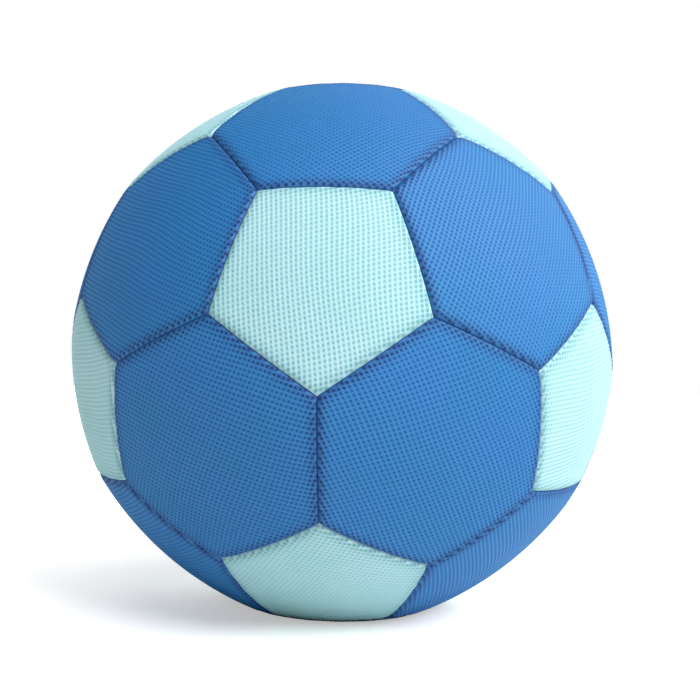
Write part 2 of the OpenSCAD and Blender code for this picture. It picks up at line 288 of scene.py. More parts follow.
class Knit:
    """The lattice of holes on a panel's flat pattern, slightly skewed and wandering."""

    def __init__(self, grain, skew, rng):
        self.turn = math.radians(grain)
        self.skew = math.tan(math.radians(skew))
        self.shift = rng.uniform(-0.5, 0.5, 2) * PITCH
        self.phase = rng.uniform(0, 2 * math.pi, 4)
        self.length = rng.uniform(*WANDER_LENGTHS, 4)

    def wander(self, q):
        a, b = q[:, 0], q[:, 1]
        p, k = self.phase, 2 * math.pi / self.length
        dx = np.sin(b * k[0] + p[0]) + 0.6 * np.sin((a + b) * k[1] + p[1])
        dy = np.sin(a * k[2] + p[2]) + 0.6 * np.sin((a - b) * k[3] + p[3])
        return WANDER * np.stack([dx, dy], 1)

    def place(self, ij):
        x, y = ij[:, 0] * PITCH, ij[:, 1] * PITCH
        y = y + x * self.skew
        c, s = math.cos(self.turn), math.sin(self.turn)
        q = np.stack([c * x - s * y, s * x + c * y], 1) + self.shift
        return q + self.wander(q)

    def rims(self, ij, share):
        """The rims of the holes in the cells at ij, each with its share of a whole hole's radius."""
        return self.place((ij[:, None] + 0.5 + RIM_IJ[None] * share[:, None, None]).reshape(-1, 2))

    def cell(self, q):
        """Which cell a place is in: place() run backwards."""
        base = q
        for _ in range(8):
            base = q - self.wander(base)
        base = base - self.shift
        c, s = math.cos(self.turn), math.sin(self.turn)
        x = c * base[:, 0] + s * base[:, 1]
        y = -s * base[:, 0] + c * base[:, 1] - x * self.skew
        return np.floor(x / PITCH).astype(int), np.floor(y / PITCH).astype(int)


# The outer ring of a cell, counter-clockwise: corner, middle of an edge, corner, ... And the rim
# of its hole, from the cell's middle.
RING_IJ = np.array([(0, 0), (0.5, 0), (1, 0), (1, 0.5), (1, 1), (0.5, 1), (0, 1), (0, 0.5)])
RING = len(RING_IJ)
RING_ANGLE = np.radians([225, 270, 315, 0, 45, 90, 135, 180])
RIM_R = HOLE_R / PITCH * np.where(np.arange(RING) % 2 == 0, CORNER_STRETCH, 1.0)
RIM_IJ = np.stack([np.cos(RING_ANGLE), np.sin(RING_ANGLE)], 1) * RIM_R[:, None]


class Lattice:
    """The cells of a panel's knit, numbered from one corner, and which are whole inside it."""

    def __init__(self, cap, knit):
        self.knit = knit
        self.n = int(SIDE * BALL_R / PITCH) + 4
        self.size = 2 * self.n + 1
        steps = np.arange(-self.n, self.n + 1)
        ij = np.stack(np.meshgrid(steps, steps, indexing="ij"), 2).reshape(-1, 2)
        self.corner_q = knit.place(ij.astype(float))
        clear = cap.inside(self.corner_q, CELL_CLEAR).reshape(self.size, self.size)
        self.kept = clear[:-1, :-1] & clear[1:, :-1] & clear[:-1, 1:] & clear[1:, 1:]
        used = np.zeros_like(clear)
        for di in (0, 1):
            for dj in (0, 1):
                used[di : self.size - 1 + di, dj : self.size - 1 + dj] |= self.kept
        self.loose_q = self.corner_q[(clear & ~used).ravel()]

    def key(self, i, j):
        """One number for a point on the grid of half steps."""
        return i * 2 * self.size + j

    def from_key(self, key):
        return np.stack([key // (2 * self.size), key % (2 * self.size)], 1) / 2 - self.n

    def stairs(self):
        """The edges between whole cells and the others, each as three points of half steps."""
        kept = self.kept
        lines = []
        for i, j in np.argwhere(kept[:, :-1] != kept[:, 1:]):
            lines.append([self.key(2 * i + k, 2 * j + 2) for k in (0, 1, 2)])
        for i, j in np.argwhere(kept[:-1] != kept[1:]):
            lines.append([self.key(2 * i + 2, 2 * j + k) for k in (0, 1, 2)])
        return np.array(lines)

    def in_whole_cell(self, q):
        i, j = self.knit.cell(q)
        i, j = np.clip(i + self.n, 0, self.size - 2), np.clip(j + self.n, 0, self.size - 2)
        return self.kept[i, j]


def make_mesh(name, points, quads, tris, body, material):
    """A smooth-shaded mesh object from arrays, riding on a body."""
    mesh = bpy.data.meshes.new(name)
    quads = np.asarray(quads, int).reshape(-1, 4)
    tris = np.asarray(tris, int).reshape(-1, 3)
    corners = np.concatenate([quads.ravel(), tris.ravel()])
    starts = np.concatenate(
        [np.arange(len(quads)) * 4, len(quads) * 4 + np.arange(len(tris)) * 3]
    )
    mesh.vertices.add(len(points))
    mesh.vertices.foreach_set("co", np.asarray(points, np.float32).ravel())
    mesh.loops.add(len(corners))
    mesh.loops.foreach_set("vertex_index", corners.astype(np.int32))
    mesh.polygons.add(len(starts))
    mesh.polygons.foreach_set("loop_start", starts.astype(np.int32))
    mesh.update(calc_edges=True)
    mesh.validate()
    mesh.shade_smooth()
    obj = bpy.data.objects.new(name, mesh)
    bpy.context.scene.collection.objects.link(obj)
    mesh.materials.append(material)
    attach(obj, body)
    return obj


def paint(mesh, name, values):
    layer = mesh.attributes.new(name, "FLOAT", "POINT")
    layer.data.foreach_set("value", np.asarray(values, np.float32))


def map_uv(mesh, name, uv):
    """A UV map from one place for each vertex."""
    layer = mesh.uv_layers.new(name=name)
    loops = np.empty(len(mesh.loops), np.int32)
    mesh.loops.foreach_get("vertex_index", loops)
    layer.data.foreach_set("uv", np.asarray(uv, np.float32)[loops].ravel())


def seam_nearness(gap):
    """1 at a seam, falling to 0 two or three holes into the panel."""
    return np.exp(-((np.maximum(gap - OPENS_FROM, 0) / OPENS_OVER) ** 2))


class Face:
    """The outside of a panel: places on its flat pattern and the faces between them. Each place has the
    depth that it sinks to and its share of a hole's painted shade."""

    def __init__(self):
        self.q, self.sink, self.hole = np.zeros((0, 2)), np.zeros(0), np.zeros(0)
        self.quads, self.tris = [], []

    def add(self, q, sink, hole):
        """Add places, and give their numbers."""
        first = len(self.q)
        self.q = np.concatenate([self.q, q])
        self.sink = np.append(self.sink, np.broadcast_to(sink, len(q)))
        self.hole = np.append(self.hole, np.broadcast_to(hole, len(q)))
        return np.arange(first, len(self.q))


def add_cells(face, cap, lattice):
    """The whole cells, each a ring around its hole. Gives the keys of the points that they share,
    which are the face's first points."""
    cell_ij = np.argwhere(lattice.kept)
    half = 2 * cell_ij[:, None] + (RING_IJ * 2).astype(int)[None]
    shared, ring = np.unique(lattice.key(half[..., 0], half[..., 1]), return_inverse=True)
    ring = ring.reshape(-1, RING)
    shared_ij = lattice.from_key(shared)
    on_bar = shared_ij[:, 0] % 1 > 0.25
    shared_q = lattice.knit.place(shared_ij)
    face.add(shared_q, np.where(on_bar, BAR_DEPTH, 0.0), np.where(on_bar, BAR_SHADE, 0.0))
    cell_ij = cell_ij - lattice.n
    eye_q = lattice.knit.place(cell_ij + 0.5)
    opened = 1 + SEAM_OPENS * seam_nearness(cap.distances(eye_q).min(1))
    rim = face.add(lattice.knit.rims(cell_ij, opened), RIM_DEPTH, RIM_SHADE).reshape(-1, RING)
    eye = np.repeat(face.add(eye_q, HOLE_DEPTH, 1.0)[:, None], RING, 1)
    turn = np.roll(np.arange(RING), -1)
    face.quads.append(np.stack([ring, ring[:, turn], rim[:, turn], rim], 2).reshape(-1, 4))
    face.tris.append(np.stack([rim, rim[:, turn], eye], 2).reshape(-1, 3))
    return shared


def add_strip(face, cap, lattice, shared):
    """The strip between the whole cells and the seam, with the holes that fit in it. Gives the
    numbers of the outline's points."""
    outline = cap.edge(GAP)[0]
    cell_ij = np.argwhere(~lattice.kept) - lattice.n
    room = cap.distances(lattice.knit.place(cell_ij + 0.5)).min(1) - HOLE_CLEAR
    fits = room > SMALLEST_HOLE * HOLE_R
    cell_ij, room = cell_ij[fits], room[fits]
    share = np.minimum(room / (SKEW_ROOM * HOLE_R), STRIP_OPENS)
    rim_q = lattice.knit.rims(cell_ij, share)
    eye_q = lattice.knit.place(cell_ij + 0.5)
    row_q = np.concatenate([cap.edge(inset)[0] for inset in EDGE_ROWS])
    away = np.linalg.norm(row_q[:, None] - eye_q[None], axis=2) - RIM_REACH * share[None]
    row_q = row_q[away.min(1) > ROW_CLEAR]

    plain = face.add(np.concatenate([outline, row_q, lattice.loose_q]), BAR_DEPTH / 2, 0.0)
    rims = face.add(rim_q, RIM_DEPTH, RIM_SHADE)
    eyes = face.add(eye_q, HOLE_DEPTH * share, 1.0)
    stairs = np.searchsorted(shared, lattice.stairs())
    stair_points, steps = np.unique(stairs, return_inverse=True)
    numbers = np.concatenate([plain, rims, eyes, stair_points])
    steps = steps.reshape(-1, 3) + len(numbers) - len(stair_points)
    stair_edges = [(int(line[k]), int(line[k + 1])) for line in steps for k in (0, 1)]
    starts = len(plain) + np.arange(len(eyes)) * RING
    rim_edges = [e for start in starts for e in ring_edges(int(start), RING)]
    loops = [ring_edges(0, len(outline)), stair_edges, rim_edges]
    strip = flat_triangles(face.q[numbers], loops, lambda q: ~lattice.in_whole_cell(q) & cap.inside(q))
    face.tris.append(numbers[strip])
    return plain[: len(outline)]


def on_ball(face, cap, gap, nearest, world, middle):
    """The face's places on the ball: rolled in and puckered at the seams, and flat at the foot."""
    turns = np.append(cap.turns, [0, 0])[nearest]
    along = face.q[:, 1] * np.cos(turns) - face.q[:, 0] * np.sin(turns)
    inward = 1 - np.minimum(gap / ROLL_W, 1)
    roll = ROLL_DEPTH * (1 - np.sqrt(1 - inward**2))
    if cap.hand:
        roll = np.where(nearest >= cap.sides, roll * SLOT_ROLL, roll)
    pucker = PUCKER * np.sin(along / PUCKER_STEP + nearest * 2) * np.exp(-gap / PUCKER_REACH)
    near_edge = np.minimum(gap / FULL_DEPTH, 1)
    sink = face.sink * near_edge
    smooth = cap.point(face.q)
    points = (smooth - cap.normal(face.q) * (roll + sink + pucker * near_edge)[:, None]) @ world.T + middle
    pressed = (smooth @ world.T + middle)[:, 2] < 0
    points[pressed, 2] = (sink + roll)[pressed]
    points[:, 2] = np.maximum(points[:, 2], 0)
    return points


def turned_in(cap, wall, on_slot, world):
    """The turned-in allowance and the back face, from the ball's middle: two rings of points and
    the back's places on the flat pattern, which start with the third ring."""
    wall_r = np.linalg.norm(wall, axis=1)
    first_r = np.where(on_slot, wall_r - SLOT_HEM, LIP_R)
    edge_q = cap.edge(ALLOWANCE)[0]
    lip = cap.point(edge_q) @ world.T
    back_r = np.linalg.norm((cap.point(edge_q) - cap.normal(edge_q) * COVER_T) @ world.T, axis=1)
    second_r = np.where(on_slot, back_r + SLOT_STEP, np.minimum(LIP_R, back_r - LIP_STEP))
    first = wall * (first_r / wall_r)[:, None]
    second = lip * (second_r / np.linalg.norm(lip, axis=1))[:, None]
    reach = int(SIDE * BALL_R / BACK_GRID) + 1
    grid = np.arange(-reach, reach + 1) * BACK_GRID
    inner_q = np.stack(np.meshgrid(grid, grid), 2).reshape(-1, 2)
    inner_q = inner_q[cap.inside(inner_q, ALLOWANCE + BACK_CLEAR)]
    return first, second, np.concatenate([edge_q, inner_q])


def map_panel(mesh, knit, face_q, outline_q, back_q):
    """Two UV maps: along the knit's ribs, and one for textures, where the outside fills the square
    and the inside is small in a corner, with the rings of the turned-in edge around it."""
    m = len(outline_q)
    inside_q = np.concatenate([outline_q, back_q[:m], back_q])
    spread = np.repeat([*RING_SPREAD, 1.0], [m, m, len(back_q)])
    c, s = math.cos(-knit.turn), math.sin(-knit.turn)
    along_grain = np.concatenate([face_q, inside_q]) @ np.array([[c, s], [-s, c]])
    map_uv(mesh, "pattern", along_grain * PATTERN_SCALE)
    middle = outline_q.mean(0)
    half = np.abs(outline_q - middle).max()
    front_uv = 0.5 + (face_q - middle) * FRONT_HALF / half
    back_uv = BACK_AT + (inside_q - middle) * (BACK_HALF / half * spread)[:, None]
    map_uv(mesh, "OFBake", np.concatenate([front_uv, back_uv]))


def make_panel(node, cap, place, knit, slot_name):
    """One panel of spacer mesh: holes outside, edges rolled into the seam, a plain back."""
    face = Face()
    lattice = Lattice(cap, knit)
    shared = add_cells(face, cap, lattice)
    outline = add_strip(face, cap, lattice, shared)
    on_slot = cap.edge(GAP)[1]
    world, middle = np.array(place.to_3x3()), np.array(CENTRE)
    gap, nearest = cap.to_seam(face.q)
    outside = on_ball(face, cap, gap, nearest, world, middle)

    first, second, back_q = turned_in(cap, outside[outline] - middle, on_slot, world)
    back = (cap.point(back_q) - cap.normal(back_q) * COVER_T) @ world.T
    inside = np.concatenate([first, second, back]) + middle
    inside[:, 2] = np.maximum(inside[:, 2], COVER_T if node == "hexagon_base" else FLOOR_CLEAR)
    m = len(outline)
    rings = [outline] + [len(outside) + k * m + np.arange(m) for k in (0, 1, 2)]
    turn = np.roll(np.arange(m), -1)
    walls = [np.stack([a, b, b[turn], a[turn]], 1) for a, b in zip(rings, rings[1:])]
    back_tris = flat_triangles(back_q, [ring_edges(0, m)], lambda q: cap.inside(q, ALLOWANCE))
    quads = np.concatenate(face.quads + walls)
    tris = np.concatenate(face.tris + [(rings[3][0] + back_tris)[:, ::-1]])

    points = np.concatenate([outside, inside])
    piece = make_mesh("mesh_" + node, points, quads, tris, "cover", MATERIALS[slot_name])
    mesh = piece.data
    flat_inside = np.ones(len(inside))
    # Masks for the painted shade: hole for the holes, seam for how much deeper it is near a seam, edge for
    # the line along the seam; the inside takes the seam's painted shade in full
    paint(mesh, "hole", np.concatenate([face.hole, 0 * flat_inside]))
    paint(mesh, "seam", np.concatenate([seam_nearness(gap), flat_inside]))
    paint(mesh, "edge", np.concatenate([np.exp(-gap / EDGE_SHADE), flat_inside]))
    map_panel(mesh, knit, face.q, face.q[outline], back_q)
    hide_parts(node)
    return piece


# ---------------------------------------------------------------- materials
def srgb(code):
    """Linear colour from a hex code."""
    parts = [int(code[i : i + 2], 16) / 255 for i in (0, 2, 4)]
    return tuple(c / 12.92 if c <= 0.04045 else ((c + 0.055) / 1.055) ** 2.4 for c in parts) + (1,)


class Shader:
    """A node material with one Principled shader, and short ways to add nodes to it."""

    def __init__(self, name, **constants):
        self.material = bpy.data.materials.new(name)
        self.material.use_nodes = True
        self.tree = self.material.node_tree
        self.principled = self.tree.nodes["Principled BSDF"]
        for socket, value in constants.items():
            self.principled.inputs[socket.replace("_", " ")].default_value = value

    def node(self, kind, sockets=None, **settings):
        made = self.tree.nodes.new("ShaderNode" + kind)
        for name, value in settings.items():
            setattr(made, name, value)
        for key, value in (sockets or {}).items():
            if isinstance(value, bpy.types.NodeSocket):
                self.tree.links.new(value, made.inputs[key])
            else:
                made.inputs[key].default_value = value
        return made

    def math(self, operation, a, b=0.0, clamp=False):
        return self.node("Math", {0: a, 1: b}, operation=operation, use_clamp=clamp).outputs[0]

    def mix(self, share, a, b, blend="MIX"):
        made = self.node("Mix", {0: share, 6: a, 7: b}, data_type="RGBA", blend_type=blend)
        return made.outputs[2]

    def spread(self, value, low, high, to_low, to_high):
        sockets = {0: value, 1: low, 2: high, 3: to_low, 4: to_high}
        return self.node("MapRange", sockets).outputs[0]

    def noise(self, vector, scale, detail=2.0, rough=0.5):
        sockets = {"Vector": vector, "Scale": scale, "Detail": detail, "Roughness": rough}
        return self.node("TexNoise", sockets).outputs["Fac"]

    def place(self, vector, scale):
        return self.node("Mapping", {"Vector": vector, "Scale": scale}).outputs[0]

    def object_place(self):
        return self.node("TexCoord").outputs["Object"]

    def set(self, **sockets):
        for name, value in sockets.items():
            self.tree.links.new(value, self.principled.inputs[name.replace("_", " ")])

    def bump(self, height, distance, strength=1.0):
        sockets = {"Height": height, "Distance": distance, "Strength": strength}
        self.set(Normal=self.node("Bump", sockets).outputs[0])


def knit_material(name, yarn, yarn_cool, yarn_warm, bottom, seam_shade, edge_shade):
    """Spacer mesh: pale yarn ribs over holes with painted shade, which is deeper where the holes open onto
    the inside at a seam, and a line of painted shade along the seam.
    """
    s = Shader(name, Sheen_Weight=0.3, Sheen_Roughness=0.4, Specular_IOR_Level=0.6)
    s.principled.inputs["Sheen Tint"].default_value = yarn_warm
    hole = s.node("Attribute", attribute_name="hole").outputs["Fac"]
    seam = s.node("Attribute", attribute_name="seam").outputs["Fac"]
    pattern = s.node("UVMap", uv_map="pattern").outputs[0]
    place = s.object_place()
    patches = s.noise(place, 19.0, 3.0)
    worn = s.noise(place, 160.0, 3.0, 0.6)
    fibres = s.noise(s.place(pattern, (620.0, 150.0, 1.0)), 1.0, 3.0, 0.65)
    rows = {"Vector": pattern, "Scale": 80.0, "Distortion": 1.2, "Detail": 2.0}
    threads = s.node("TexWave", rows).outputs["Fac"]
    tint = s.mix(s.spread(patches, 0.35, 0.65, 0.0, 1.0), yarn_cool, yarn_warm)
    base = s.mix(0.5, yarn, tint)
    base = s.mix(s.spread(worn, 0.3, 0.75, 0.0, 0.3), base, yarn_warm)
    shade = s.spread(fibres, 0.25, 0.75, 0.9, 1.06)
    base = s.mix(1.0, base, s.node("CombineColor", {0: shade, 1: shade, 2: shade}).outputs[0], "MULTIPLY")
    # Painted shade in the holes: the hole colour, darker still near a seam
    depth = s.mix(seam, bottom, seam_shade)
    # How much of that painted shade each place takes, spread wider near a seam
    dark = s.math("POWER", hole, s.spread(seam, 0.0, 1.0, 0.9, 0.5), clamp=True)
    # Painted shade along the seam's groove, and over the whole inside, in the seam's shade colour
    edge = s.node("Attribute", attribute_name="edge").outputs["Fac"]
    base = s.mix(s.math("MULTIPLY", edge, edge_shade), base, seam_shade)
    # The yarn's colour with the painted shade of the holes laid over it
    s.set(Base_Color=s.mix(dark, base, depth))
    rough = s.spread(fibres, 0.3, 0.7, 0.45, 0.65)
    s.set(Roughness=s.math("ADD", rough, s.math("MULTIPLY", hole, 0.5), clamp=True))
    height = s.math("ADD", s.math("MULTIPLY", threads, 0.6), fibres)
    s.bump(height, 0.00012, 0.6)
    return s.material


def thread_material(name, colour, dark):
    """Twisted sewing thread."""
    s = Shader(name, Sheen_Weight=0.3, Sheen_Roughness=0.4, Roughness=0.55)
    place = s.object_place()
    twist = s.node("TexWave", {"Vector": place, "Scale": 900.0, "Distortion": 3.0}).outputs["Fac"]
    s.set(Base_Color=s.mix(s.spread(twist, 0.2, 0.8, 0.0, 1.0), dark, colour))
    s.bump(twist, 0.0001)
    return s.material


def woven_material(name, colour, dark, scale, rough=0.8):
    """Plain-woven tape or cloth, from its own pattern map in tenths of a metre."""
    s = Shader(name, Sheen_Weight=0.25, Sheen_Roughness=0.5)
    pattern = s.node("UVMap", uv_map="pattern").outputs[0]
    yarns = {"Vector": pattern, "Scale": scale, "Distortion": 0.4}
    warp = s.node("TexWave", yarns).outputs["Fac"]
    weft = s.node("TexWave", yarns, bands_direction="Y").outputs["Fac"]
    lumps = s.noise(s.object_place(), 300.0, 3.0)
    weave = s.math("MULTIPLY", warp, weft)
    s.set(Base_Color=s.mix(s.spread(s.math("ADD", weave, lumps), 0.4, 1.3, 0.0, 1.0), dark, colour))
    s.set(Roughness=s.spread(lumps, 0.3, 0.7, rough - 0.08, rough + 0.08))
    s.bump(weave, 0.00015)
    return s.material


def plastic_material(name, colour, dark, rough):
    """Moulded plastic with a faint grain and rubbed, paler patches."""
    s = Shader(name, Specular_IOR_Level=0.5)
    place = s.object_place()
    grain = s.noise(place, 1400.0, 2.0)
    rubbed = s.noise(place, 240.0, 4.0)
    s.set(Base_Color=s.mix(s.spread(rubbed, 0.4, 0.7, 0.0, 1.0), dark, colour))
    s.set(Roughness=s.spread(grain, 0.3, 0.7, rough - 0.07, rough + 0.09))
    s.bump(grain, 0.00003)
    return s.material


def metal_material(name, colour, dark):
    """Plated metal, brushed along the zip, with fine scratches."""
    s = Shader(name, Metallic=1.0)
    place = s.object_place()
    brushed = s.noise(s.place(place, (2600.0, 500.0, 240.0)), 1.0, 3.0)
    spots = s.noise(place, 420.0, 3.0)
    s.set(Base_Color=s.mix(s.spread(spots, 0.4, 0.75, 0.0, 1.0), colour, dark))
    s.set(Roughness=s.spread(brushed, 0.3, 0.7, 0.2, 0.38))
    s.bump(brushed, 0.00002)
    return s.material


def vinyl_material(name, colour, dark, rough):
    """Soft, slightly creased vinyl film with a welded grain."""
    s = Shader(name, Specular_IOR_Level=0.6, Coat_Weight=0.25, Coat_Roughness=0.2)
    place = s.object_place()
    creases = s.node("TexVoronoi", {"Vector": place, "Scale": 45.0}, feature="DISTANCE_TO_EDGE").outputs[0]
    cloudy = s.noise(place, 28.0, 4.0)
    fold = s.spread(creases, 0.0, 0.12, 0.0, 1.0)
    s.set(Base_Color=s.mix(s.spread(cloudy, 0.35, 0.7, 0.0, 1.0), dark, colour))
    s.set(Roughness=s.spread(cloudy, 0.3, 0.7, rough - 0.06, rough + 0.1))
    s.bump(s.math("ADD", fold, cloudy), 0.0004)
    return s.material


MATERIALS = {
    "mesh_blue": knit_material(
        "mesh_blue",
        srgb("147ab8"),
        srgb("0d7bb0"),
        srgb("2078be"),
        # Painted shade in the holes, deeper painted shade at the seams, and how much of it lies along a
        # seam
        srgb("08509c"),
        srgb("001066"),
        0.5,
    ),
    "mesh_aqua": knit_material(
        "mesh_aqua",
        srgb("b3dde3"),
        srgb("a7dbdd"),
        srgb("bae0ea"),
        # Painted shade in the holes, deeper painted shade at the seams, and how much of it lies along a
        # seam
        srgb("78b8c2"),
        srgb("5c9fab"),
        0.1,
    ),
    "thread_blue": thread_material("thread_blue", srgb("2a5cc0"), srgb("143a8c")),
    "guard_fabric": woven_material("guard_fabric", srgb("2c63c4"), srgb("143c8e"), 30.0),
    "zip_tape": woven_material("zip_tape", srgb("1c3f9a"), srgb("0b2260"), 26.0),
    "zip_plastic": plastic_material("zip_plastic", srgb("20459c"), srgb("12307a"), 0.36),
    "zip_metal": metal_material("zip_metal", srgb("c9ccd1"), srgb("9b9fa6")),
    "bladder_clear": vinyl_material("bladder_clear", srgb("dfe6ea"), srgb("c3ced6"), 0.28),
    "bladder_tint": vinyl_material("bladder_tint", srgb("a9d3e6"), srgb("86bcd6"), 0.28),
    "valve_vinyl": vinyl_material("valve_vinyl", srgb("e8ebee"), srgb("c9d0d6"), 0.34),
    "stopper_vinyl": vinyl_material("stopper_vinyl", srgb("3aa0e4"), srgb("1f7fc6"), 0.32),
}

# ---------------------------------------------------------------- the camera
# Where the photograph was taken from, found from where the seams' corners lie in it: nearly level
# with the ball's middle and a little over three and a half radii away. Angles are in degrees.
CAMERA_AZIMUTH = 4.09
CAMERA_ELEVATION = -2.12
CAMERA_DISTANCE = 3.6405 * BALL_R
CAMERA_AIM = CENTRE + Vector((0.0282, 0, 0.0117)) * BALL_R
CAMERA_ROLL = 1.12
CAMERA_LENS, CAMERA_SENSOR = 48.93, 36


def add_camera():
    a, e = math.radians(CAMERA_AZIMUTH), math.radians(CAMERA_ELEVATION)
    away = Vector((math.sin(a) * math.cos(e), -math.cos(a) * math.cos(e), math.sin(e)))
    camera = bpy.data.objects.new("camera", bpy.data.cameras.new("camera"))
    camera.data.lens = CAMERA_LENS
    camera.data.sensor_width = CAMERA_SENSOR
    camera.location = CENTRE + away * CAMERA_DISTANCE
    back = (camera.location - CAMERA_AIM).normalized()
    look = (-back).to_track_quat("-Z", "Y").to_matrix()
    roll = Matrix.Rotation(math.radians(CAMERA_ROLL), 3, back)
    camera.matrix_world = Matrix.Translation(camera.location) @ (roll @ look).to_4x4()
    camera.data.clip_start = 0.01
    camera.data.clip_end = 200
    bpy.context.scene.collection.objects.link(camera)
    bpy.context.scene.camera = camera


add_camera()

# ---------------------------------------------------------------- the cover
GORES = [f"bladder_gore_{i}" for i in range(1, 7)]

# How far the ribs lean from upright, in round degrees, on panels that the photograph shows. The
# other panels take theirs from the seeded draw.
LEANS = {
    "pentagon_high_belt_1": 5,
    "hexagon_low_belt_1": 70,
    "hexagon_low_belt_2": 30,
    "hexagon_high_belt_1": -30,
    "hexagon_high_belt_6": 70,
    "hexagon_upper_1": 50,
    "pentagon_low_belt_1": 100,
    "pentagon_lower_1": 70,
    "pentagon_low_belt_3": -10,
    "hexagon_lower_1": 50,
}
ROW_SKEW = 10  # how far the mesh's rows are from square to its ribs
TURNED_OVER = ("pentagon_high_belt_1", "pentagon_low_belt_3")  # so their rows lean the other way
RANDOM_LEAN = 20  # either way from upright or from level
SEED = 36


def rib_turn(node, place, lean):
    """Turn of the knit in a panel's own frame that leans its ribs from upright by lean degrees."""
    up = Vector((0, -1, 0)) if node in ("hexagon_base", "hexagon_top") else Vector((0, 0, 1))
    local = place.to_3x3().transposed() @ up
    return math.degrees(math.atan2(local.y, local.x)) - 90 + lean


def add_panels():
    draws = np.random.default_rng(SEED)
    caps = {5: Cap(5), 6: Cap(6)}
    jobs = [(node, caps[sides], facing(n, next_pentagon(n))) for node, (sides, n) in panel_dirs.items()]
    jobs += [("zip_panel_left", Cap(6, -1), ZIP_FRAME), ("zip_panel_right", Cap(6, 1), ZIP_FRAME)]
    for node, cap, place in jobs:
        lean = LEANS.get(node, draws.choice([0, 90]) + draws.uniform(-RANDOM_LEAN, RANDOM_LEAN))
        skew = ROW_SKEW if node in TURNED_OVER else -ROW_SKEW
        knit = Knit(rib_turn(node, place, lean), skew, draws)
        piece = make_panel(node, cap, place, knit, "mesh_aqua" if cap.sides == 5 else "mesh_blue")
        if cap.sides == 5:
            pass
        elif cap.hand:
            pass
        else:
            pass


add_panels()

# ---------------------------------------------------------------- the zip
CHAIN_DEPTH = 3.4 * MM  # middle of the teeth under the panel's outside
ZIP_R = PANEL_CURVE * BALL_R - CHAIN_DEPTH
TAPE_FROM, TAPE_TO, TAPE_T = 2.95 * MM, 13.95 * MM, 0.6 * MM  # each side of the middle
GUARD_W, GUARD_L, GUARD_T = 26 * MM, 124 * MM, 0.4 * MM
GUARD_DEPTH = 6.4 * MM
TOOTH_PITCH, TOOTH_L, TOOTH_T = 2.5 * MM, 1.6 * MM, 2.2 * MM
TOOTH_COUNT = 49
STOP_L, STOP_AT = 2.0 * MM, 63.5 * MM
STITCH_X, STITCH_L, STITCH_PITCH, THREAD_R = 7.5 * MM, 2.6 * MM, 3.2 * MM, 0.3 * MM
STITCH_DIP = 0.55 * MM  # how far a stitch's ends go down into the mesh
STITCHED = 64 * MM  # half the length of each row of stitches
ROW, ROW_RISE = 0.55 * MM, 0.05 * MM  # one row of the tapes' weave
RIPPLE, RIPPLE_L, RIPPLE_W = 0.12 * MM, 9 * MM, 4 * MM  # gentle waves along and across a tape
CORD_AT, CORD_R, CORD_W = 0.7 * MM, 0.3 * MM, 0.5 * MM  # the cord in a tape's inner edge
TOOTH_BEVEL, TOP_BEVEL, BOTTOM_BEVEL = 0.28 * MM, 0.4 * MM, 0.5 * MM
STOP_GAP = 0.05 * MM  # between the bottom stop and the tapes


def at_zip(x, place, height):
    """Places in the row's frame, from across, along and above the curved middle of the zip."""
    x, place, height = np.broadcast_arrays(x, place, height)
    r = ZIP_R + height
    turn = place / ZIP_R
    local = np.stack([x, r * np.sin(turn), r * np.cos(turn) - HEX_DROP * BALL_R], -1)
    return local @ np.array(ZIP_FRAME.to_3x3()).T + np.array(CENTRE)


def make_strip(node, x_from, x_to, half_l, height, thick, bead_x, slot_name):
    """A woven strip along the zip, with a cord along it at bead_x if that isn't 0."""
    across = np.linspace(x_from, x_to, int((x_to - x_from) / ROW) + 1)
    along = np.linspace(-half_l, half_l, int(2 * half_l / ROW) + 1)
    nx, ny = len(across), len(along)
    x, place = np.meshgrid(across, along, indexing="ij")
    row, column = np.meshgrid(np.arange(nx), np.arange(ny), indexing="ij")
    weave = ROW_RISE * np.where((row + column) % 2, 1, -1)
    wave = RIPPLE * np.sin(place / RIPPLE_L) * np.sin(x / RIPPLE_W)
    cord = CORD_R * np.exp(-(((x - bead_x) / CORD_W) ** 2)) if bead_x else 0.0
    top = at_zip(x, place, height + weave + wave + thick / 2 + cord).reshape(-1, 3)
    base = at_zip(x, place, height + weave + wave - thick / 2 - cord).reshape(-1, 3)
    index = np.arange(nx * ny).reshape(nx, ny)
    a, b, c, d = index[:-1, :-1], index[1:, :-1], index[1:, 1:], index[:-1, 1:]
    faces = np.stack([a, b, c, d], 2).reshape(-1, 4)
    rim = np.concatenate([index[:-1, 0], index[-1, :-1], index[:0:-1, -1], index[0, :0:-1]])
    wall = np.stack([rim, rim + nx * ny, np.roll(rim, -1) + nx * ny, np.roll(rim, -1)], 1)
    quads = np.concatenate([faces, faces[:, ::-1] + nx * ny, wall])
    points = np.concatenate([top, base])
    no_tris = np.zeros((0, 3), int)
    piece = make_mesh("woven_" + node, points, quads, no_tris, "cover", MATERIALS[slot_name])
    flat = np.stack([x, place], 2).reshape(-1, 2)
    map_uv(piece.data, "pattern", np.concatenate([flat, flat]) * PATTERN_SCALE)
    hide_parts(node)
    return piece


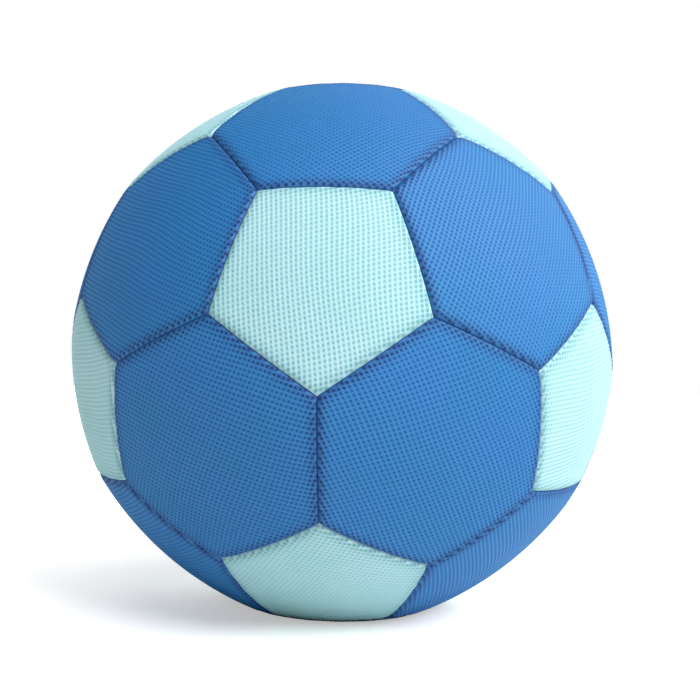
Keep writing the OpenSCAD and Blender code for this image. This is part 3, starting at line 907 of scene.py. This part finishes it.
def make_blocks(node, outlines, places, half_t, bevel, slot_name):
    """Moulded blocks with rounded edges: one outline of (across, along) points for each place.
    The rings of points run from the top face to the bottom one."""
    points, quads, tris = [], [], []
    for outline, place in zip(outlines, places):
        outline = np.array(outline)
        middle = outline.mean(0)
        size = np.abs(outline - middle).max(0)
        n = len(outline)
        first = sum(len(p) for p in points)
        rings = []
        for height, inset in ((1, 1), (1 - 0.4 * bevel / half_t, 0.4), (1 - bevel / half_t, 0)):
            rings.append((middle + (outline - middle) * (1 - inset * bevel / size), half_t * height))
        rings += [(flat, -height) for flat, height in reversed(rings)]
        for flat, height in rings:
            points.append(at_zip(flat[:, 0], flat[:, 1] + place, height))
        points.append(at_zip(middle[0:1], middle[1:2] + place, half_t))
        points.append(at_zip(middle[0:1], middle[1:2] + place, -half_t))
        k = np.arange(n)
        turn = np.roll(k, -1)
        for ring in range(len(rings) - 1):
            low = first + ring * n
            quads.append(np.stack([low + k, low + n + k, low + n + turn, low + turn], 1))
        last = first + len(rings) * n
        tris.append(np.stack([first + k, first + turn, np.full(n, last)], 1))
        tris.append(np.stack([last - n + turn, last - n + k, np.full(n, last + 1)], 1))
    points, quads, tris = np.concatenate(points), np.concatenate(quads), np.concatenate(tris)
    piece = make_mesh("moulded_" + node, points, quads, tris, "cover", MATERIALS[slot_name])
    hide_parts(node)


def tooth_outline(hand, length):
    """A tooth from above: a rounded head, a waist, and a foot clamped on the tape's cord."""
    half = length / 2
    side = [(0.5, 0.45), (0.62, 0.8), (0.9, 1), (1.5, 1), (1.9, 0.8), (2.3, 0.8), (2.7, 1), (3.5, 0.9)]
    side = [(x * MM, y * half) for x, y in side]
    loop = side + [(x, -y) for x, y in reversed(side)]
    return [(hand * x, y) for x, y in (loop[::-1] if hand > 0 else loop)]


def make_stitches():
    """Two rows of lockstitch: each stitch rises out of the mesh, lies on it and dips back in."""
    rings, sides = 9, 8
    t = np.linspace(0, 1, rings)
    around = np.arange(sides) * 2 * math.pi / sides
    hex_r = PANEL_CURVE * BALL_R
    lie = CHAIN_DEPTH - STITCH_X**2 / (2 * hex_r) + THREAD_R
    points, quads, tris = [], [], []
    count = int(2 * STITCHED / STITCH_PITCH)
    first = 0
    for x in (-STITCH_X, STITCH_X):
        for i in range(count):
            start = -STITCHED + (i + 0.5) * STITCH_PITCH - STITCH_L / 2
            height = lie - STITCH_DIP * (2 * t - 1) ** 4
            r = THREAD_R * (1 - 0.35 * (2 * t - 1) ** 6)
            ring_x = x + r[:, None] * np.cos(around)
            ring_h = height[:, None] + r[:, None] * np.sin(around) * 0.85
            ring_place = start + t[:, None] * STITCH_L + 0 * around
            points.append(at_zip(ring_x, ring_place, ring_h).reshape(-1, 3))
            points.append(at_zip(x, start + t[[0, -1]] * STITCH_L, height[[0, -1]]))
            k = np.arange(sides)
            turn = np.roll(k, -1)
            for ring in range(rings - 1):
                low = first + ring * sides
                quads.append(np.stack([low + k, low + turn, low + sides + turn, low + sides + k], 1))
            last = first + rings * sides
            tris.append(np.stack([first + turn, first + k, np.full(sides, last)], 1))
            tris.append(np.stack([last - sides + k, last - sides + turn, np.full(sides, last + 1)], 1))
            first += rings * sides + 2
    points, quads, tris = np.concatenate(points), np.concatenate(quads), np.concatenate(tris)
    thread = MATERIALS["thread_blue"]
    piece = make_mesh("stitches_zip_stitching", points, quads, tris, "cover", thread)
    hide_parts("zip_stitching")


def add_zip():
    for side, hand in (("left", -1), ("right", 1)):
        x_from, x_to = sorted((hand * TAPE_FROM, hand * TAPE_TO))
        bead_x = hand * (TAPE_FROM + CORD_AT)
        piece = make_strip("zip_tape_" + side, x_from, x_to, SLOT_L / 2, 0.0, TAPE_T, bead_x, "zip_tape")
        along = (np.arange(TOOTH_COUNT) - (TOOTH_COUNT - 1) / 2) * TOOTH_PITCH + hand * TOOTH_PITCH / 4
        teeth = [tooth_outline(hand, TOOTH_L)] * TOOTH_COUNT
        make_blocks("zip_teeth_" + side, teeth, along, TOOTH_T / 2, TOOTH_BEVEL, "zip_plastic")
    guard_h = CHAIN_DEPTH - GUARD_DEPTH - GUARD_T / 2
    guard = make_strip(
        "zip_guard", -GUARD_W / 2, GUARD_W / 2, GUARD_L / 2, guard_h, GUARD_T, 0.0, "guard_fabric"
    )
    stops = [tooth_outline(hand, STOP_L) for hand in (-1, 1)]
    make_blocks("zip_top_stops", stops, [STOP_AT] * 2, TOOTH_T / 2, TOP_BEVEL, "zip_metal")
    around = np.arange(16) * math.pi / 8
    half_w = TAPE_FROM - STOP_GAP
    round_x = half_w * np.sign(np.cos(around)) * np.abs(np.cos(around)) ** 0.5
    round_y = STOP_L / 2 * np.sign(np.sin(around)) * np.abs(np.sin(around)) ** 0.5
    base = [np.stack([round_x, round_y], 1)]
    make_blocks("zip_bottom_stop", base, [-STOP_AT], TOOTH_T / 2, BOTTOM_BEVEL, "zip_metal")
    make_stitches()


add_zip()

# ---------------------------------------------------------------- materials of the CAD nodes
CAD_FINISHES = {
    "seam_thread": "thread_blue",
    "zip_slider": "zip_metal",
    "pull_tab": "zip_metal",
    "bladder_disc_front": "bladder_clear",
    "bladder_disc_rear": "bladder_clear",
    "valve_stem": "valve_vinyl",
    "valve_stopper": "stopper_vinyl",
}
for i, gore in enumerate(GORES):
    CAD_FINISHES[gore] = "bladder_tint" if i % 2 else "bladder_clear"


def finish_cad_nodes():
    for name, finish in CAD_FINISHES.items():
        for material_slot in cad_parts[name].material_slots:
            material_slot.material = MATERIALS[finish]


finish_cad_nodes()

# ---------------------------------------------------------------- the studio
LAMP_DISTANCE = 3


def far_light(name, azimuth, elevation, wide, strength):
    """A soft light from far away that is wide degrees across, so it lights the floor evenly."""
    a, e = math.radians(azimuth), math.radians(elevation)
    away = Vector((math.sin(a) * math.cos(e), -math.cos(a) * math.cos(e), math.sin(e)))
    data = bpy.data.lights.new(name, "SUN")
    data.angle = math.radians(wide)
    data.energy = strength
    lamp = bpy.data.objects.new(name, data)
    lamp.location = CENTRE + away * LAMP_DISTANCE
    lamp.rotation_euler = away.to_track_quat("Z", "Y").to_euler()
    bpy.context.scene.collection.objects.link(lamp)


# Name, azimuth from -Y towards +X, elevation and width in degrees, and strength
LIGHTS = (
    ("key", 54, 42, 42, 3.4),
    ("high", 20, 66, 45, 1.0),
    ("right", 105, 38, 45, 1.0),
    ("left_back", -120, 15, 45, 0.3),
    ("right_back", 140, 20, 45, 0.4),
    ("back", 180, 30, 50, 1.0),
)
AMBIENT = 0.025
FLOOR_GLOW = 0.46  # seen by the camera only, for the photograph's white ground
FLOOR_R = 60


def add_studio():
    scene = bpy.context.scene
    world = bpy.data.worlds.new("studio")
    world.use_nodes = True
    background = world.node_tree.nodes["Background"]
    background.inputs["Color"].default_value = (1, 1, 1, 1)
    # White where it is seen past the floor, and dim as a light
    ray = world.node_tree.nodes.new("ShaderNodeLightPath")
    dim = world.node_tree.nodes.new("ShaderNodeMath")
    dim.operation = "MAXIMUM"
    dim.inputs[1].default_value = AMBIENT
    world.node_tree.links.new(ray.outputs["Is Camera Ray"], dim.inputs[0])
    world.node_tree.links.new(dim.outputs[0], background.inputs["Strength"])
    scene.world = world
    scene.view_settings.view_transform = "Standard"
    floor_mesh = bpy.data.meshes.new("floor")
    build = bmesh.new()
    bmesh.ops.create_circle(build, cap_ends=True, radius=FLOOR_R, segments=96)
    build.to_mesh(floor_mesh)
    build.free()
    floor = bpy.data.objects.new("floor", floor_mesh)
    s = Shader("studio_floor", Roughness=0.7)
    pale = s.noise(s.object_place(), 3.0, 3.0)
    s.set(Base_Color=s.mix(pale, srgb("f4f3ef"), srgb("f8f7f3")))
    s.principled.inputs["Emission Color"].default_value = (1, 1, 1, 1)
    seen = s.node("LightPath").outputs["Is Camera Ray"]
    s.set(Emission_Strength=s.math("MULTIPLY", seen, FLOOR_GLOW))
    floor_mesh.materials.append(s.material)
    scene.collection.objects.link(floor)
    for light in LIGHTS:
        far_light(*light)


add_studio()
